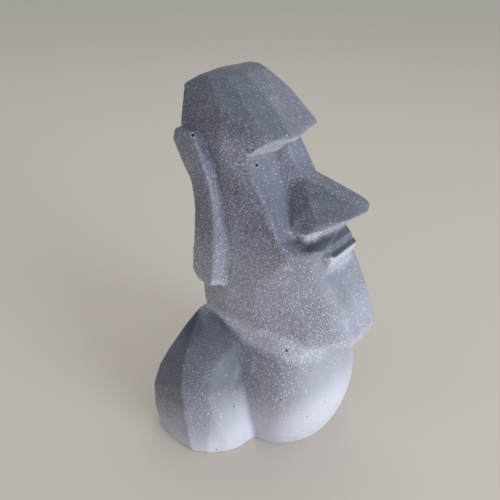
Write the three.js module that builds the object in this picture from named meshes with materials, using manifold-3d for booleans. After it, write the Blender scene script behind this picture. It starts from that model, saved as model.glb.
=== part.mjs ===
import * as THREE from 'three';
import { ConvexGeometry } from 'three/addons/geometries/ConvexGeometry.js';
import { mergeVertices } from 'three/addons/utils/BufferGeometryUtils.js';
import Module from 'manifold-3d';

// A small moai figurine, cast in one piece of granite-effect stone: a tall faceted head
// with a heavy brow, long slab ears and a jutting chin, on a bust of three rounded lobes.
// Millimetres. +Z is up, the face looks towards -Y, and the figure's left side is +X.
// The figure is symmetrical about x = 0, so the sizes below are those of the +X half.

// ---- Driving dimensions -------------------------------------------------------------

// The head is a stack of outlines from the jaw up to the crown. Each corner of an outline
// is [half width, depth along Y, rise above the outline's height]:
//   face   the middle of the face, which has no width
//   front  the corner beside the middle of the face
//   mid    the bend beside the front corner
//   jowl   the bend between mid and cheek, which rounds the jaw
//   cheek  the edge between the face and the side of the head
//   side   the widest line, where the ear stands
//   back   the corner of the back of the head
//   nape   the middle of the back, which has no width
const HEAD = {
  jawBase: { z: 36.4, face: [0, -29.6], front: [5.2, -29.3], mid: [7.9, -26.2],
    jowl: [10.8, -20.8, -0.7], cheek: [12.5, -7.5, 1.3], side: [12.8, 3.5, 1.6],
    back: [10.8, 12.2, 1.6], nape: [0, 12.8, 1.6] },
  chin: { z: 40.0, face: [0, -30.4], front: [5.8, -30.2], mid: [7.8, -28.2],
    jowl: [10.9, -20.2], cheek: [12.9, -6.0, 1], side: [13.0, 3.5, 1],
    back: [11.0, 12.4, 1], nape: [0, 13.0, 1] },
  chinTop: { z: 48.6, face: [0, -26.8], front: [6.2, -26.6], mid: [8.9, -24.2],
    jowl: [11.4, -15.6], cheek: [13.0, -6.2, 1.6], side: [13.1, 3.6, 1],
    back: [11.2, 12.8, 1], nape: [0, 13.4, 1] },
  lipFoot: { z: 56.0, face: [0, -22.3], front: [6.0, -22.1], mid: [9.2, -20.4],
    jowl: [11.4, -16.6], cheek: [12.8, -12.0], side: [13.0, 3.8],
    back: [11.0, 13.0], nape: [0, 13.6] },
  mouth: { z: 60.4, face: [0, -21.2], front: [5.8, -21.4], mid: [9.4, -18.6],
    jowl: [11.2, -17.0, -0.3], cheek: [12.6, -15.2, -0.7], side: [13.0, 4.0],
    back: [11.0, 13.0], nape: [0, 13.6] },
  shelf: { z: 62.0, face: [0, -15.0], front: [4.0, -14.6], mid: [7.6, -13.4],
    jowl: [10.4, -12.9, 0.6], cheek: [12.5, -12.6, 1.0], side: [13.0, 4.0],
    back: [11.0, 13.0], nape: [0, 13.6] },
  eyeTop: { z: 81.2, face: [0, -6.2], front: [3.4, -5.4], mid: [7.4, -3.6],
    jowl: [9.6, -2.8], cheek: [11.6, -2.0], side: [12.9, 4.1],
    back: [11.0, 14.6], nape: [0, 15.6] },
  brow: { z: 85.5, face: [0, -9.2, -0.6], front: [2.6, -8.9, -0.4], mid: [7.0, -8.3],
    jowl: [8.9, -8.1], cheek: [10.6, -7.8], side: [12.9, 4.1, 1],
    back: [11.0, 17.8], nape: [0, 19.0] },
  crown: { z: 93.0, face: [0, -2.1], front: [0.9, -2.0], mid: [5.8, -1.0],
    jowl: [7.6, -0.8], cheek: [9.1, -0.5], side: [12.8, 4.1],
    back: [11.2, 16.0, 2.6], nape: [0, 17.6, 2.6] },
  cap: { z: 97.8, face: [0, 5.0], front: [4.8, 5.2], mid: [6.0, 5.5],
    jowl: [6.6, 5.6], cheek: [7.2, 5.8], side: [9.6, 9.4],
    back: [9.6, 12.4], nape: [0, 13.4] },
};
const CAP_TOP = { middle: [0, 9.6], rise: 0.3, inset: 0.5 };

// The nose: a flat-topped bridge from the brow, and a pointed ball with flared wings.
// Corners are [half width, depth, height].
const BRIDGE = {
  brow: [2.4, -6.4, 85.4], ridge: [2.5, -10.3, 78.5], foot: [2.6, -12.7, 76.4],
  browWall: [3.6, -3.4, 84.0], ridgeWall: [5.0, -5.6, 77.5], footWall: [6.4, -11.0, 66.0],
  lowRidge: [2.4, -15.5, 70.0],
};
const BALL = {
  root: [2.6, -12.7, 76.4], rootInside: [2.6, -8, 76],
  ridge: [3.2, -22.6, 73.0], tipTop: [2.0, -26.0, 72.9], tip: [0.5, -28.3, 72.8],
  tipUnder: [0.7, -27.9, 70.3], tipFoot: [3.0, -25.6, 69.2], wingTop: [4.8, -18.8, 72.8],
  wingCrest: [6.7, -16.8, 72.4], wing: [6.6, -19.2, 68.4], wingFoot: [7.3, -16.6, 64.0],
  wingBack: [7.6, -12.5, 65.0], rim: [6.2, -15.8, 61.5], rimBack: [6.8, -11.2, 63.0],
  rimTip: [1.6, -23.8, 67.2],
};

// The lips: a steep wedge from the nose down to the upper lip, a thin upper lip, a slit,
// and a lower lip that stands out as a ledge and fades into the jaw.
const WEDGE = {
  crest: [0.7, -22.1, 66.0], crestBack: [0.7, -14, 62.4], foot: [5.8, -21.6, 61.3],
  corner: [9.4, -18.5, 60.6], cornerBack: [9.6, -13, 60.7], under: [5, -13, 59],
};
const LIP = {
  upper: [5.8, -21.7, 61.5], upperFoot: [5.5, -22.2, 60.7], ledge: [5.2, -23.6, 60.1],
  foot: [4.8, -22.8, 57.4], ledgeEnd: [6.8, -21.6, 59.8], footEnd: [6.4, -21.9, 56.6],
  inside: -18,
};

// The ears: long slabs, narrow at the waist and flared at the lobe.
// [height, depth of front edge, of outer ridge, of back edge, half width at the ridge]
const EAR = [
  [46.6, 2.2, 6.0, 10.4, 15.8],
  [49.5, 1.8, 4.8, 12.2, 16.2],
  [57.0, 1.6, 4.3, 11.6, 15.9],
  [66.0, 3.0, 4.7, 11.2, 15.4],
  [73.5, 5.2, 5.7, 12.4, 15.2],
  [76.5, 6.2, 6.6, 14.2, 15.2],
  [82.8, 9.8, 9.2, 17.5, 15.1],
  [85.6, 12.0, 10.6, 16.7, 15.0],
];
const EAR_ROOT = { front: 12.0, back: 10.0 };
const EAR_TAPER = 0.8;

// The neck shows as a band under the jaw, and spreads a little into the bust.
// [height, half width, depth of front, of back]
const NECK_LEVELS = [[26, 13.8, -19, 14.8], [31.6, 12.5, -19, 13.2], [38.6, 12.5, -18, 12.0]];
const NECK = { front: [0.6, 0], cheek: [0.9, 5], side: [-8, 4], back: 0.85 };

// The shoulder lobes: faceted rounds whose ridge runs down the outside. Corners are
// [half width, depth, height].
const SHOULDER = {
  crest: [[11.6, 13.2, 36], [13.2, 8.6, 33.4], [13, 3.6, 32.6], [12.6, -1.2, 31.8]],
  ridge: [[16.3, 8.7, 32], [21.1, 10.5, 28], [23.7, 9.6, 24.7], [26.5, 7.9, 19.6],
    [27.1, 6.6, 13.4], [27.5, 5.2, 4], [26.8, 4.8, 0]],
  front: [[16.2, -0.3, 28.5], [19.5, 1.5, 27.4], [23.7, 2.5, 22.3], [24.5, 0.6, 19],
    [24.4, -0.7, 14.1], [18.7, -3.3, 21.3], [14.8, -5.2, 14.2], [16.6, -3.6, 22.6]],
  foot: [[25.5, 0.2, 5], [22.2, -3.3, 5], [18.6, -5.4, 6], [14, -6.2, 5],
    [24.9, 0.8, 0], [21.7, -2.6, 0], [18.6, -4.6, 0], [12.6, -5.6, 0], [26.3, 12.8, 0]],
  rear: [[15.5, 16.2, 30], [20, 18, 24.5], [22.2, 19.8, 19.5], [24, 20.6, 14],
    [24.3, 20.9, 7], [24, 19.7, 0], [14.5, 22.6, 20], [14.5, 24.6, 8], [14, 23.2, 0],
    [3, 20.4, 20], [3, 21.6, 8], [3, 20.6, 0], [4, 14.6, 34]],
  inside: [[0, 2, 31], [0, 2, 0]],
};

// The yoke fills the valley between the lobes and slopes up to the foot of the neck.
// Its corners are [half width, depth] at full size, and its levels [height, size].
const YOKE = {
  corners: [[7.3, -16], [14.6, -7], [14.6, 3], [10.2, 9]],
  levels: [[8, 0.82], [16, 0.95], [22, 1.02], [26, 1.03], [29.5, 0.97], [33, 0.86]],
};

// The chest lobe, a smooth round that swells out from a small foot to sit under the chin.
// Its front is half an ellipse, cut into equal steps round its middle.
// [height, half width, depth of front]
const CHEST_LEVELS = [
  [0, 12.4, -17.8], [3, 13.4, -20.6], [6.5, 14.2, -22.6], [11, 14.9, -24.2],
  [16, 15.3, -25.3], [20.5, 15.4, -25.7], [25, 15.0, -25.5], [29, 14.2, -25.0],
  [33, 13.2, -24.3], [37, 12.2, -23.4],
];
const CHEST = { deep: 11.5, steps: 9, back: [0.98, -1], inside: [0.7, 8] };

// The middle of the figure's depth, which stands over the origin.
const MID_DEPTH = -2.9;

// Corners nearer than this are one corner.
const WELD = 1e-4;

// ---- Solids --------------------------------------------------------------------------

const wasm = await Module();
wasm.setup();

function solid(geometry) {
  geometry.deleteAttribute('normal');
  geometry.deleteAttribute('uv');
  const merged = mergeVertices(geometry, WELD);
  return new wasm.Manifold(new wasm.Mesh({
    numProp: 3,
    vertProperties: new Float32Array(merged.attributes.position.array),
    triVerts: new Uint32Array(merged.index.array),
  }));
}

function corner([x, y, z]) {
  return new THREE.Vector3(x, y, z);
}

// The two triangles of a twisted four-sided facet, folded outwards along its ridge.
function foldedFacet(points, [a, b, c, d]) {
  const first = points[c].clone().sub(points[a]);
  const second = points[d].clone().sub(points[b]);
  const outward = new THREE.Vector3().crossVectors(first, second);
  const lift = points[a].clone().add(points[c]).sub(points[b]).sub(points[d]);
  return lift.dot(outward) >= 0 ? [a, b, c, a, c, d] : [a, b, d, b, c, d];
}

// A closed solid over a stack of outlines with equal numbers of corners, bottom to top.
// Each outline runs anticlockwise seen from above, and the end ones are closed by a fan.
function stack(outlines) {
  const count = outlines[0].length;
  const points = outlines.flat();
  const faces = [];
  for (let level = 0; level < outlines.length - 1; level += 1) {
    for (let i = 0; i < count; i += 1) {
      const a = level * count + i;
      const b = level * count + (i + 1) % count;
      faces.push(...foldedFacet(points, [a, b, b + count, a + count]));
    }
  }
  for (const level of [0, outlines.length - 1]) {
    const middle = new THREE.Vector3();
    outlines[level].forEach((point) => middle.addScaledVector(point, 1 / count));
    points.push(middle);
    for (let i = 0; i < count; i += 1) {
      const a = level * count + i;
      const b = level * count + (i + 1) % count;
      faces.push(...(level === 0 ? [b, a] : [a, b]), points.length - 1);
    }
  }
  const geometry = new THREE.BufferGeometry().setFromPoints(points);
  geometry.setIndex(faces);
  return solid(geometry);
}

function mirrored(point) {
  return new THREE.Vector3(-point.x, point.y, point.z);
}

// A half outline on the +X side, front to back, closed with its mirror image.
function bothHalves(half) {
  return [...half, ...half.filter((point) => point.x > 0).reverse().map(mirrored)];
}

// The convex solid over the given corners and their mirror images.
function block(corners) {
  const half = corners.map(corner);
  return solid(new ConvexGeometry([...half, ...half.map(mirrored)]));
}

// A pair of stacks, one on each side of the figure.
function pair(outlines) {
  const other = outlines.map((outline) => outline.map(mirrored).reverse());
  return [stack(outlines), stack(other)];
}

function head() {
  const outlines = Object.values(HEAD).map(({ z, ...corners }) => bothHalves(
    Object.values(corners).map(([x, y, rise = 0]) => corner([x, y, z + rise])),
  ));
  const cap = outlines[outlines.length - 1];
  const middle = corner([...CAP_TOP.middle, cap[0].z + CAP_TOP.rise]);
  const top = cap.map((point) => point.clone().lerp(middle, CAP_TOP.inset).setZ(middle.z));
  return stack([...outlines, top]);
}

function nose() {
  const { brow, ridge, foot, browWall, ridgeWall, footWall, lowRidge } = BRIDGE;
  return [
    block([brow, ridge, browWall, ridgeWall]),
    block([ridge, foot, ridgeWall, footWall, lowRidge]),
    block(Object.values(BALL)),
  ];
}

function lips() {
  const { upper, upperFoot, ledge, foot, ledgeEnd, footEnd, inside } = LIP;
  const behind = ([x, , z]) => [x, inside, z];
  return [
    block(Object.values(WEDGE)),
    block([upper, upperFoot, behind(upperFoot), behind(upper)]),
    block([ledge, foot, ledgeEnd, footEnd, behind(ledgeEnd), behind(footEnd)]),
  ];
}

function ears() {
  return pair(EAR.map(([z, front, ridge, back, half]) => [
    corner([EAR_ROOT.front, front, z]),
    corner([half, ridge, z]),
    corner([half - EAR_TAPER, back, z]),
    corner([EAR_ROOT.back, back, z]),
  ]));
}

function neck() {
  return stack(NECK_LEVELS.map(([z, half, front, rear]) => bothHalves([
    corner([half * NECK.front[0], front + NECK.front[1], z]),
    corner([half * NECK.cheek[0], front + NECK.cheek[1], z]),
    corner([half, NECK.side[0], z]),
    corner([half, NECK.side[1], z]),
    corner([half * NECK.back, rear, z]),
  ])));
}

function shoulders() {
  const corners = Object.values(SHOULDER).flat().map(corner);
  return [corners, corners.map(mirrored)].map((side) => solid(new ConvexGeometry(side)));
}

function yoke() {
  return stack(YOKE.levels.map(([z, size]) => bothHalves(
    YOKE.corners.map(([x, y]) => corner([x * size, y * size, z])),
  )));
}

function chest() {
  const { deep, steps, back, inside } = CHEST;
  return stack(CHEST_LEVELS.map(([z, half, front]) => {
    const bow = Array.from({ length: steps }, (_, i) => {
      const angle = (i + 0.5) * Math.PI / 2 / (steps - 0.5);
      return corner([half * Math.sin(angle), front + deep * (1 - Math.cos(angle)), z]);
    });
    return bothHalves([
      ...bow,
      corner([half * back[0], back[1], z]),
      corner([half * inside[0], inside[1], z]),
    ]);
  }));
}

function figure() {
  const lumps = [head(), ...nose(), ...lips(), ...ears(), neck(), yoke(),
    ...shoulders(), chest()];
  return lumps.reduce((whole, lump) => whole.add(lump));
}

function toGeometry(shape) {
  const { vertProperties, triVerts } = shape.getMesh();
  const geometry = new THREE.BufferGeometry();
  geometry.setAttribute('position', new THREE.BufferAttribute(vertProperties, 3));
  geometry.setIndex(new THREE.BufferAttribute(triVerts, 1));
  geometry.translate(0, -MID_DEPTH, 0);
  geometry.computeVertexNormals();
  return geometry;
}

const stone = new THREE.MeshStandardMaterial({ color: 0x777984, roughness: 0.62, metalness: 0 });
const casting = new THREE.Mesh(toGeometry(figure()), stone);
casting.name = 'moai_casting';

const moai = new THREE.Group();
moai.add(casting);

export default moai;
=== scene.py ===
import math

import bmesh
import bpy
import numpy as np
from mathutils import Matrix, Vector, noise


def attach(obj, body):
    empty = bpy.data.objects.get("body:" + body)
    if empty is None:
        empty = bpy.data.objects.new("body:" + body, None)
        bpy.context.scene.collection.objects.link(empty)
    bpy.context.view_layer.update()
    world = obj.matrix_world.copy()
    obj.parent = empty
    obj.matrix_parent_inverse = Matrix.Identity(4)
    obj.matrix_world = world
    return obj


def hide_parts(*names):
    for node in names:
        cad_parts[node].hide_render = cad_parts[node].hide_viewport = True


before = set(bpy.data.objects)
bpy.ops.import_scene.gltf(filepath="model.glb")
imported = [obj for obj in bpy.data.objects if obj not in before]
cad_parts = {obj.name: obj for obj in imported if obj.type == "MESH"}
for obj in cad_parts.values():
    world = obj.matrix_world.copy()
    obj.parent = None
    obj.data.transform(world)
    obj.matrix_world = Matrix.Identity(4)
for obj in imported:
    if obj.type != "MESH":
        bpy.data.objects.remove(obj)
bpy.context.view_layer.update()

# ---- The casting ---------------------------------------------------------------------
# The whole figure is one piece of dark stone mix full of fine white grit, poured into a
# soft mould. Its facets come out a little wavy, with rounded edges and small air holes, and
# it is finished by hand: a dark wash on the upper faces, and the foot rubbed nearly white.
# Painted shade darkens the upward faces, the crown, the shoulders under the head, the place
# under the nose and the insides of the air holes; painted light pales the undersides and
# the figure's left half of the crown and brow.
MM = 0.001
NET_CELL = 0.00047
# how many times the skin is rounded, between which heights, and in front of which place
ROUNDING = {"everywhere": (1, -1.0, 1.0, 1.0), "chest": (6, 0.0015, 0.033, -0.005),
            "chin": (24, 0.041, 0.0565, -0.010)}
# waves of the skin: how many to the metre and how high, growing from none at the flat foot
WAVES = ((90.0, 0.00016), (330.0, 0.00005))
WAVES_FULL_AT = 0.002
# place in millimetres, radius, depth and height of the raised lip
PINHOLES = (
    ((-15.1, 13.6, 85.2), 0.48, 0.75, 0.08), ((-9.5, -1.0, 79.3), 0.40, 0.60, 0.04),
    ((-11.6, -12.4, 34.0), 0.36, 0.55, 0.02), ((-16.0, 8.6, 48.1), 0.28, 0.30, 0.02),
    ((-11.3, -0.9, 83.5), 0.22, 0.25, 0.0), ((-11.4, 0.4, 83.2), 0.18, 0.20, 0.0),
    ((-19.4, -1.1, 14.8), 0.20, 0.25, 0.0), ((-14.4, -12.9, 20.6), 0.20, 0.25, 0.0),
    ((-10.6, -17.8, 15.1), 0.22, 0.28, 0.0), ((-6.8, -21.6, 18.3), 0.22, 0.28, 0.0),
    ((-23.6, 1.8, 1.2), 0.22, 0.25, 0.0), ((12.5, 6.0, 58.0), 0.35, 0.50, 0.03),
    ((15.2, 10.4, 70.0), 0.25, 0.30, 0.0), ((24.0, 12.0, 19.0), 0.30, 0.45, 0.03),
    ((8.0, 18.0, 74.0), 0.35, 0.50, 0.03), ((-6.0, 17.9, 62.0), 0.22, 0.30, 0.0),
    ((14.0, -10.0, 22.0), 0.25, 0.30, 0.0), ((-14.5, 26.0, 12.0), 0.30, 0.40, 0.02),
)
# in radii of a hole: how far its lip reaches, and the patch of the net that is cut finer
LIP_REACH = 1.8
PATCH_REACH = 1.9
FULL_LIP = 0.00008
# how strongly the inside of a hole is painted dark as shade, for its depth
HOLE_SHADE_STRENGTH = 1.6
# how far a sharp edge stands out of the skin once that is evened
SHARP_EDGE = 0.00016
EVENING_PASSES = 9
BROW_HEIGHT = 80.0
MOST_GRIT = 1.5
STONE_DARK = (0.118, 0.117, 0.143, 1)
STONE_LIGHT = (0.165, 0.167, 0.208, 1)
PALE_SPECK = (0.200, 0.202, 0.246, 1)
DARK_SPECK = (0.055, 0.056, 0.075, 1)
# the pale of the rubbed foot and edges, also used as painted light on the undersides and the lit
# side
RUBBED_AND_LIT = (0.54, 0.53, 0.58, 1)
# the dark of the wash, also used as painted shade
WASH_AND_SHADE = (0.034, 0.042, 0.064, 1)
GLINT = (0.85, 0.85, 0.90, 1)
# the near-black painted shade inside the air holes
HOLE_SHADE = (0.012, 0.012, 0.015, 1)
# a grain is the stone's own colour, times the gain, plus the lift
GRAIN_GAIN = (1.6, 1.6, 1.6)
GRAIN_LIFT = (0.30, 0.30, 0.32)
GRAIN_STIR = (0.00022, 0.00022, 0.00022)


def skin_of(node_name):
    """The solid's surface as an even net of small squares."""
    rough = bpy.data.meshes.new("rough_casting")
    shell = bmesh.new()
    shell.from_mesh(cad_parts[node_name].data)
    bmesh.ops.remove_doubles(shell, verts=shell.verts, dist=1e-6)
    bmesh.ops.recalc_face_normals(shell, faces=shell.faces)
    shell.to_mesh(rough)
    shell.free()
    holder = bpy.data.objects.new("rough_casting", rough)
    bpy.context.scene.collection.objects.link(holder)
    net = holder.modifiers.new("net", "REMESH")
    net.mode = "VOXEL"
    net.voxel_size = NET_CELL
    bpy.context.view_layer.update()
    depsgraph = bpy.context.evaluated_depsgraph_get()
    mesh = bpy.data.meshes.new_from_object(holder.evaluated_get(depsgraph))
    bpy.data.objects.remove(holder)
    bpy.data.meshes.remove(rough)
    return mesh


skin = bmesh.new()
net_mesh = skin_of("moai_casting")
skin.from_mesh(net_mesh)
bpy.data.meshes.remove(net_mesh)
for passes, low, high, back in ROUNDING.values():
    patch = [v for v in skin.verts if low < v.co.z < high and v.co.y < back]
    for _ in range(passes):
        bmesh.ops.smooth_vert(skin, verts=patch, factor=0.5, use_axis_x=True,
                              use_axis_y=True, use_axis_z=True)
skin.normal_update()
for vert in skin.verts:
    wave = sum(height * noise.noise(vert.co * pitch) for pitch, height in WAVES)
    vert.co += vert.normal * wave * min(vert.co.z / WAVES_FULL_AT, 1.0)

# The air holes, each in a patch of the net that is cut finer first.
hole_shade_layer = skin.verts.layers.float.new("pinhole_shade")
ring_layer = skin.verts.layers.float.new("pinhole_ring")


def sink_pinhole(place, radius, depth, lip):
    """A small round hole, with a thin raised lip round the larger ones."""
    centre = min(skin.verts, key=lambda v: (v.co - place).length_squared)
    inward = -centre.normal
    place = centre.co.copy()
    patch = [f for f in skin.faces
             if (f.calc_center_median() - place).length < PATCH_REACH * radius]
    cut = list({e for f in patch for e in f.edges})
    bmesh.ops.subdivide_edges(skin, edges=cut, cuts=3, use_grid_fill=True)
    for vert in skin.verts:
        away = (vert.co - place).length / radius
        if away < 1.0:
            sunk = math.sqrt(1.0 - away ** 2)
            vert.co += inward * depth * sunk
            # painted shade: the inside of the hole is marked to be painted dark, darkest in the
            # middle
            vert[hole_shade_layer] = min(1.0, HOLE_SHADE_STRENGTH * sunk)
        elif away < LIP_REACH and lip:
            raised = math.sin(math.pi * (away - 1.0) / (LIP_REACH - 1.0))
            vert.co -= inward * lip * raised
            vert[ring_layer] = raised * min(1.0, lip / FULL_LIP)


for spot, radius, depth, lip in PINHOLES:
    sink_pinhole(Vector(spot) * MM, radius * MM, depth * MM, lip * MM)

figure_mesh = bpy.data.meshes.new("moai_figure")
skin.to_mesh(figure_mesh)
skin.free()
for face in figure_mesh.polygons:
    face.use_smooth = True
figure = bpy.data.objects.new("moai_figure", figure_mesh)
bpy.context.scene.collection.objects.link(figure)


def read_all(collection, name, width, kind=float):
    """One property of all the items of a mesh, a row for each item."""
    values = np.empty(len(collection) * width, dtype=kind)
    collection.foreach_get(name, values)
    return values.reshape(-1, width)


points = read_all(figure_mesh.vertices, "co", 3)
facing = read_all(figure_mesh.vertices, "normal", 3)
ties = read_all(figure_mesh.edges, "vertices", 2, int)
ring = read_all(figure_mesh.attributes["pinhole_ring"].data, "value", 1)[:, 0]
neighbours = np.bincount(ties.ravel(), minlength=len(points))[:, None]


def evened(place, passes):
    """The skin after its points have moved halfway to their neighbours' middle."""
    first, second = ties.T
    for _ in range(passes):
        total = np.empty_like(place)
        for axis in range(3):
            total[:, axis] = (np.bincount(first, place[second, axis], len(place))
                              + np.bincount(second, place[first, axis], len(place)))
        place = (place + total / neighbours) / 2
    return place


out_of_even = points - evened(points, EVENING_PASSES)
standing_out = (out_of_even * facing).sum(axis=1) / SHARP_EDGE
edge = np.clip(standing_out, 0, 1)
crease = np.clip(-standing_out, 0, 1)

# The hand finish and the painted light and shade, kept on the skin's points. Places are in
# millimetres: to the figure's left, back from its middle, and up; sideways, ahead and
# up-facing say how the skin looks.
left, along, height = (points / MM).T
ahead = -facing[:, 1]
measures = {"left": left, "side": np.abs(left), "along": along, "height": height,
            "ahead": ahead, "sideways": np.abs(facing[:, 0]), "up": facing[:, 2]}


def across(value, low, high):
    """0 at low and 1 at high, with a smooth change between."""
    share = np.clip((value - low) / (high - low), 0, 1)
    return share * share * (3 - 2 * share)


def zone(**ends):
    """1 in one zone of the skin and 0 outside it. Each measure has the values where it is
    0 and 1, or four values, where it rises from 0 to 1 and falls from 1 to 0."""
    share = 1.0
    for name, span in ends.items():
        share = share * across(measures[name], *span[:2])
        if len(span) == 4:
            share = share * across(measures[name], span[3], span[2])
    return share


def layered(*coats):
    """Coats of the same finish, laid over each other."""
    bare = 1.0
    for coat in coats:
        bare = bare * (1 - coat)
    return 1 - bare


def drifting(per_metre):
    """Slow drifts between about -1 and 1, so many to the metre."""
    return np.array([noise.noise(Vector(p) * per_metre) for p in points])


# head
# painted shade: the crown's top, side and back faces, turned away from the front, are darkened
shaded_crown = zone(height=(82.0, 90.0), ahead=(0.70, 0.40))
temple = zone(height=(74.0, 79.0, 83.0, 88.0), ahead=(0.5, 0.3))
# painted light: the figure's left half is treated as more lit, so its upper faces get less
# painted shade and its brow is made paler
lit_left = zone(left=(-3.4, -1.8))
lit_far_brow = lit_left * zone(height=(78.0, 84.0), ahead=(0.3, 0.6))
# upward faces are darkened, partly by the dark wash and partly as painted shade
upward_wash_and_shade = zone(up=(0.05, 0.85)) * (1 - 0.8 * lit_left)
lower_lip = zone(height=(54.0, 56.5, 59.7, 60.2), along=(-18.8, -19.8), side=(6.5, 5.5))
# downward faces are made paler, partly by their paler grit and partly as painted light from
# below; the rim under the nose's wings, the lower lip and the collar under the jaw are paled the
# same way
under_brow = zone(up=(-0.30, -0.60))
undersides = np.where(height > BROW_HEIGHT, under_brow, zone(up=(-0.04, -0.40)))
undersides = undersides * (1 - 0.6 * lower_lip)
wing_rim = across(height + 0.35 * along, 60.0, 59.4) * zone(
    height=(61.9, 62.4), side=(5.0, 5.8, 9.2, 10.0), along=(-11.0, -12.5), sideways=(0.5, 0.75))
nose = zone(along=(-10.5, -13.5), height=(60.5, 64.0), up=(1.2, 0.2))
nose = nose * (1 - undersides) * (1 - wing_rim)
nose_tip = zone(along=(-10.5, -13.5), height=(63.0, 66.0))
lip_edge = zone(height=(60.3, 60.9, 61.8, 62.4), along=(-18.0, -18.6), side=(7.5, 6.0))
lip_end = zone(side=(5.2, 6.2), height=(61.3, 60.6))
# painted shadow of the nose: the upper lip and the faces beside it under the nose are darkened;
# the lit edge of the upper lip and the lip ends are kept out
nose_shadow = np.maximum(zone(up=(0.15, 0.45)), zone(height=(61.2, 61.8), along=(-16.0, -17.2)))
nose_shadow = (nose_shadow * across(height + 0.6 * along, 53.7, 52.7)
             * zone(height=(58.5, 59.5), along=(-11.5, -15.0), side=(12.5, 8.5))
             * (1 - lip_end) * (1 - 0.85 * lip_edge))
ear = zone(side=(12.9, 13.7), height=(44.0, 46.0))
jaw = zone(height=(66.0, 50.0)) * (1 - 0.5 * zone(along=(2.0, 12.0), height=(34.0, 31.0)))

# neck, arms, chest, and the foot with its drifting edge
neck_line = 31.5 + 4.5 * zone(along=(-2.0, 11.0))
collar = across(height - neck_line, -1.6, 1.0) * zone(
    height=(38.5, 36.5), side=(14.4, 12.8), along=(-22.0, -16.0))
by_neck = zone(side=(15.2, 13.9), along=(6.0, 2.0))
# painted shade on the shoulders: deepest under the jaw, on the faces turned back from the front
# and in the valley before the arms, less beside the neck
arm_top = (zone(height=(8.0, 24.0), ahead=(1.0, -0.1)) * (0.20 + 0.52 * zone(height=(26.0, 33.0)))
           + 0.32 * zone(ahead=(0.0, -0.35)))
arm_front = zone(height=(17.5, 21.5), ahead=(0.1, 0.5)) * (0.30 + 0.25 * zone(side=(20.0, 17.0)))
shoulder_shade = (np.maximum(arm_top, arm_front) * (1 - collar) * (1 - 0.45 * by_neck)
        * zone(height=(8.0, 16.0, 34.0, 37.0), along=(-8.5, -4.0)))
chest = across(along + 0.5 * (height - 25.0), -10.5, -15.5)
lean = np.minimum(0.30 * along, 5.0) + 0.35 * np.minimum(along + 5.0, 0.0)
foot = across(height + lean + 4.0 * drifting(per_metre=110.0), 19.5, 1.5)

# how far each point is made pale by rubbing and by painted light, how much dark wash
# and painted shade it keeps, how much grit shows there
rubbed_and_painted_light = layered(foot, 0.44 * undersides, 0.43 * collar, 0.16 * chest, 0.60 * lower_lip,
                 jaw * (0.23 + 0.06 * zone(along=(-4.0, -13.0))), 0.07 * temple,
                 0.06 * lit_far_brow, 0.08 * edge, 0.70 * wing_rim, 0.70 * ring)
washed_and_painted_shade = layered(0.38 * upward_wash_and_shade, 0.38 * shaded_crown, 0.36 * nose, shoulder_shade, 0.86 * nose_shadow,
                 0.20 * crease, 0.10 * ear)
gritty = (0.2 + 0.8 * zone(ahead=(0.75, 0.15))) * (1 + 0.4 * drifting(per_metre=55.0))
gritty = gritty * (1 - across(foot, 0.0, 0.7)) * (0.4 + 0.6 * zone(height=(26.0, 34.0)))
gritty = gritty + np.maximum(0.5 * collar, 0.4 * jaw * zone(ahead=(0.8, 0.2)))
gritty = gritty * (1 - 0.45 * nose_tip) + 0.35 * undersides + 0.3 * ear
gritty = gritty * (1 - 0.85 * foot)
for name, amount in (("rubbed_and_painted_light", rubbed_and_painted_light), ("washed_and_painted_shade", washed_and_painted_shade), ("gritty", gritty)):
    layer = figure_mesh.attributes.new(name, "FLOAT", "POINT")
    layer.data.foreach_set("value", np.clip(amount, 0, MOST_GRIT))

stone = bpy.data.materials.new("granite_effect_stone")
stone.use_nodes = True
mix = stone.node_tree
skin_shader = mix.nodes["Principled BSDF"]


def feed(tree, socket, value):
    """Sets a socket, or joins another one to it."""
    if isinstance(value, bpy.types.NodeSocket):
        tree.links.new(value, socket)
    else:
        socket.default_value = value


def put(tree, kind, settings=(), **inputs):
    """A node in a tree, with its settings and its named inputs."""
    made = tree.nodes.new(kind)
    for name, value in dict(settings).items():
        setattr(made, name, value)
    for name, value in inputs.items():
        feed(tree, made.inputs[name], value)
    return made


def reckon(tree, operation, *values, kind="ShaderNodeMath"):
    """The result of one sum on numbers, colours or sockets."""
    made = put(tree, kind, {"operation": operation})
    for socket, value in zip(made.inputs, values):
        feed(tree, socket, value)
    return made.outputs[0]


def ramp(tree, value, low, high, bottom=0.0, top=1.0):
    """A number carried smoothly from low..high on to bottom..top."""
    made = put(tree, "ShaderNodeMapRange", {"interpolation_type": "SMOOTHSTEP"})
    for socket, amount in zip(made.inputs, (value, low, high, bottom, top)):
        feed(tree, socket, amount)
    return made.outputs[0]


def over(under, share, colour):
    """A colour laid over another by a share."""
    made = put(mix, "ShaderNodeMix", {"data_type": "RGBA"})
    for socket, value in zip((made.inputs[0], made.inputs[6], made.inputs[7]),
                             (share, under, colour)):
        feed(mix, socket, value)
    return made.outputs[2]


def part_of(share, factor):
    """A share made smaller by a factor."""
    return reckon(mix, "MULTIPLY", share, factor)


def kept(name):
    """What the skin's points keep under a name."""
    return put(mix, "ShaderNodeAttribute", {"attribute_name": name}).outputs["Fac"]


def cloud(per_metre, detail, low, high):
    """Soft patches all through the stone, 0 below low and 1 above high."""
    made = put(mix, "ShaderNodeTexNoise", Vector=here, Scale=per_metre, Detail=detail)
    return ramp(mix, made.outputs["Fac"], low, high)


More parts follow.
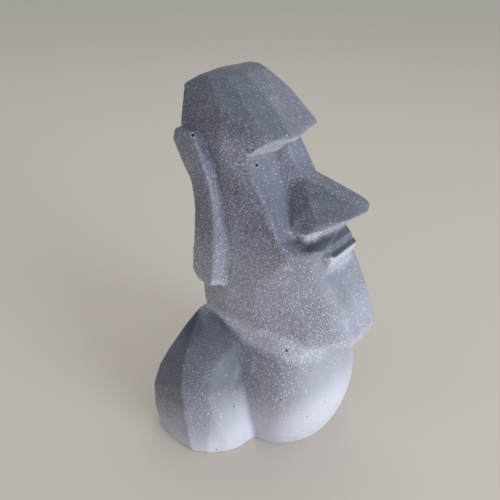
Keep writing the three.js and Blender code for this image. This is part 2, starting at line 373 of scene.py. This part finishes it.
# One grain of grit in each cell, where its lot is drawn, with its own brightness.
grit = bpy.data.node_groups.new("grit", "ShaderNodeTree")
grit.interface.new_socket("Place", in_out="INPUT", socket_type="NodeSocketVector")
for name in ("Per metre", "Size", "Share"):
    grit.interface.new_socket(name, in_out="INPUT", socket_type="NodeSocketFloat")
grit.interface.new_socket("Grains", in_out="OUTPUT", socket_type="NodeSocketFloat")
given = grit.nodes.new("NodeGroupInput").outputs
cells = put(grit, "ShaderNodeTexVoronoi", Vector=given["Place"], Scale=given["Per metre"])
lots = put(grit, "ShaderNodeSeparateColor", Color=cells.outputs["Color"])
core = reckon(grit, "MULTIPLY", given["Size"], 0.55)
grain = ramp(grit, cells.outputs["Distance"], given["Size"], core)
drawn = reckon(grit, "LESS_THAN", lots.outputs["Red"], given["Share"])
brightness = ramp(grit, lots.outputs["Green"], 0.0, 1.0, bottom=0.35, top=1.0)
shown = reckon(grit, "MULTIPLY", reckon(grit, "MULTIPLY", grain, drawn), brightness)
grit.links.new(shown, grit.nodes.new("NodeGroupOutput").inputs["Grains"])


def grains(per_metre, size, share):
    """Grit all through the stone: the size is a part of a cell, the share how many have one."""
    made = put(mix, "ShaderNodeGroup", {"node_tree": grit})
    for name, value in (("Place", stirred), ("Per metre", per_metre), ("Size", size),
                        ("Share", share)):
        feed(mix, made.inputs[name], value)
    return made.outputs["Grains"]


here = put(mix, "ShaderNodeTexCoord").outputs["Object"]
stir = put(mix, "ShaderNodeTexNoise", Vector=here, Scale=1700.0, Detail=1.0)
stirred = reckon(mix, "MULTIPLY_ADD", stir.outputs["Color"], GRAIN_STIR, here,
                 kind="ShaderNodeVectorMath")

light_patches = cloud(per_metre=75.0, detail=3.0, low=0.35, high=0.68)
pale_specks = cloud(per_metre=1100.0, detail=3.0, low=0.3, high=0.7)
dark_specks = cloud(per_metre=3600.0, detail=1.0, low=0.42, high=0.62)
colour = over(STONE_DARK, light_patches, STONE_LIGHT)
colour = over(colour, part_of(pale_specks, 0.40), PALE_SPECK)
colour = over(colour, part_of(dark_specks, 0.38), DARK_SPECK)
# pales the skin where it is rubbed and where light is painted
colour = over(colour, kept("rubbed_and_painted_light"), RUBBED_AND_LIT)
grain_colour = reckon(mix, "MULTIPLY_ADD", colour, GRAIN_GAIN, GRAIN_LIFT,
                      kind="ShaderNodeVectorMath")
showing = kept("gritty")
fine_grit = grains(per_metre=3000.0, size=0.44, share=part_of(showing, 0.75))
plain_grit = grains(per_metre=2100.0, size=0.42, share=part_of(showing, 0.80))
coarse_grit = grains(per_metre=1200.0, size=0.22, share=part_of(showing, 0.45))
glints = grains(per_metre=260.0, size=0.055, share=0.12)
for layer, strength in ((fine_grit, 0.58), (plain_grit, 0.88), (coarse_grit, 0.95)):
    colour = over(colour, part_of(layer, strength), grain_colour)
# darkens the skin with the wash and with painted shade
colour = over(colour, kept("washed_and_painted_shade"), WASH_AND_SHADE)
colour = over(colour, glints, GLINT)
# painted shade inside the air holes
colour = over(colour, kept("pinhole_shade"), HOLE_SHADE)
mix.links.new(colour, skin_shader.inputs["Base Color"])

# The skin's fine tooth, from which the grit stands out a little, and its patchy dullness.
tooth = cloud(per_metre=2600.0, detail=2.0, low=0.0, high=1.0)
tooth = reckon(mix, "MULTIPLY_ADD", tooth, 0.6, part_of(plain_grit, 0.5))
relief = put(mix, "ShaderNodeBump", Strength=0.35, Distance=0.00012, Height=tooth)
mix.links.new(relief.outputs["Normal"], skin_shader.inputs["Normal"])
dull_patches = cloud(per_metre=700.0, detail=2.0, low=0.3, high=0.7)
dullness = reckon(mix, "MULTIPLY_ADD", dull_patches, 0.16, 0.50)
mix.links.new(dullness, skin_shader.inputs["Roughness"])
figure_mesh.materials.append(stone)
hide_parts("moai_casting")
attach(figure, "root")

# ---- Floor, light and camera ---------------------------------------------------------
# A plain pale floor in a light room, a broad soft light in front of the face with a weak
# one overhead, and a high three-quarter view of the figure's right side.
FLOOR_HALF = 2.0
FLOOR_COLOUR = (0.66, 0.58, 0.49, 1)
FLOOR_ROUGHNESS = 0.8
ROOM_COLOUR = (0.88, 0.94, 1.0, 1)
ROOM_STRENGTH = 0.59
# place, aim, width, watts and colour
LIGHTS = {"window": ((-0.10, -0.60, 0.08), (0, 0, 0.04), 0.40, 5.3, (0.80, 0.89, 1.0)),
          "sky": ((0.15, 0.15, 0.60), (0, 0, 0.05), 0.50, 0.6, (1.0, 0.99, 0.97))}
AZIMUTH = math.radians(-53.5)
ELEVATION = math.radians(27.5)
LENS_MM = 46.66
SENSOR_MM = 36.0
CAMERA_PLACE = (-0.1235, -0.0834, 0.1307)
NEAREST_SEEN = 0.005
FARTHEST_SEEN = 10.0

floor_mesh = bpy.data.meshes.new("floor")
floor_build = bmesh.new()
bmesh.ops.create_grid(floor_build, x_segments=1, y_segments=1, size=FLOOR_HALF)
floor_build.to_mesh(floor_mesh)
floor_build.free()
floor = bpy.data.objects.new("floor", floor_mesh)
bpy.context.scene.collection.objects.link(floor)
pale = bpy.data.materials.new("pale_floor")
pale.use_nodes = True
floor_shader = pale.node_tree.nodes["Principled BSDF"]
floor_shader.inputs["Base Color"].default_value = FLOOR_COLOUR
floor_shader.inputs["Roughness"].default_value = FLOOR_ROUGHNESS
floor_mesh.materials.append(pale)

for name, (place, aim, width, watts, tint) in LIGHTS.items():
    lamp = bpy.data.lights.new(name, "AREA")
    lamp.shape = "DISK"
    lamp.size = width
    lamp.energy = watts
    lamp.color = tint
    holder = bpy.data.objects.new(name, lamp)
    bpy.context.scene.collection.objects.link(holder)
    holder.location = place
    holder.rotation_mode = "QUATERNION"
    holder.rotation_quaternion = (Vector(aim) - Vector(place)).to_track_quat("-Z", "Y")

room = bpy.data.worlds.new("studio")
room.use_nodes = True
room_light = room.node_tree.nodes["Background"]
room_light.inputs["Color"].default_value = ROOM_COLOUR
room_light.inputs["Strength"].default_value = ROOM_STRENGTH
bpy.context.scene.world = room
bpy.context.scene.view_settings.view_transform = "Standard"

back = Vector((math.sin(AZIMUTH) * math.cos(ELEVATION),
               -math.cos(AZIMUTH) * math.cos(ELEVATION), math.sin(ELEVATION)))
right = (-back).cross(Vector((0, 0, 1))).normalized()
upright = right.cross(-back)
lens = bpy.data.cameras.new("camera")
lens.lens = LENS_MM
lens.sensor_width = SENSOR_MM
lens.clip_start = NEAREST_SEEN
lens.clip_end = FARTHEST_SEEN
camera = bpy.data.objects.new("camera", lens)
bpy.context.scene.collection.objects.link(camera)
turned = Matrix((right, upright, back)).transposed().to_4x4()
camera.matrix_world = Matrix.Translation(CAMERA_PLACE) @ turned
bpy.context.scene.camera = camera
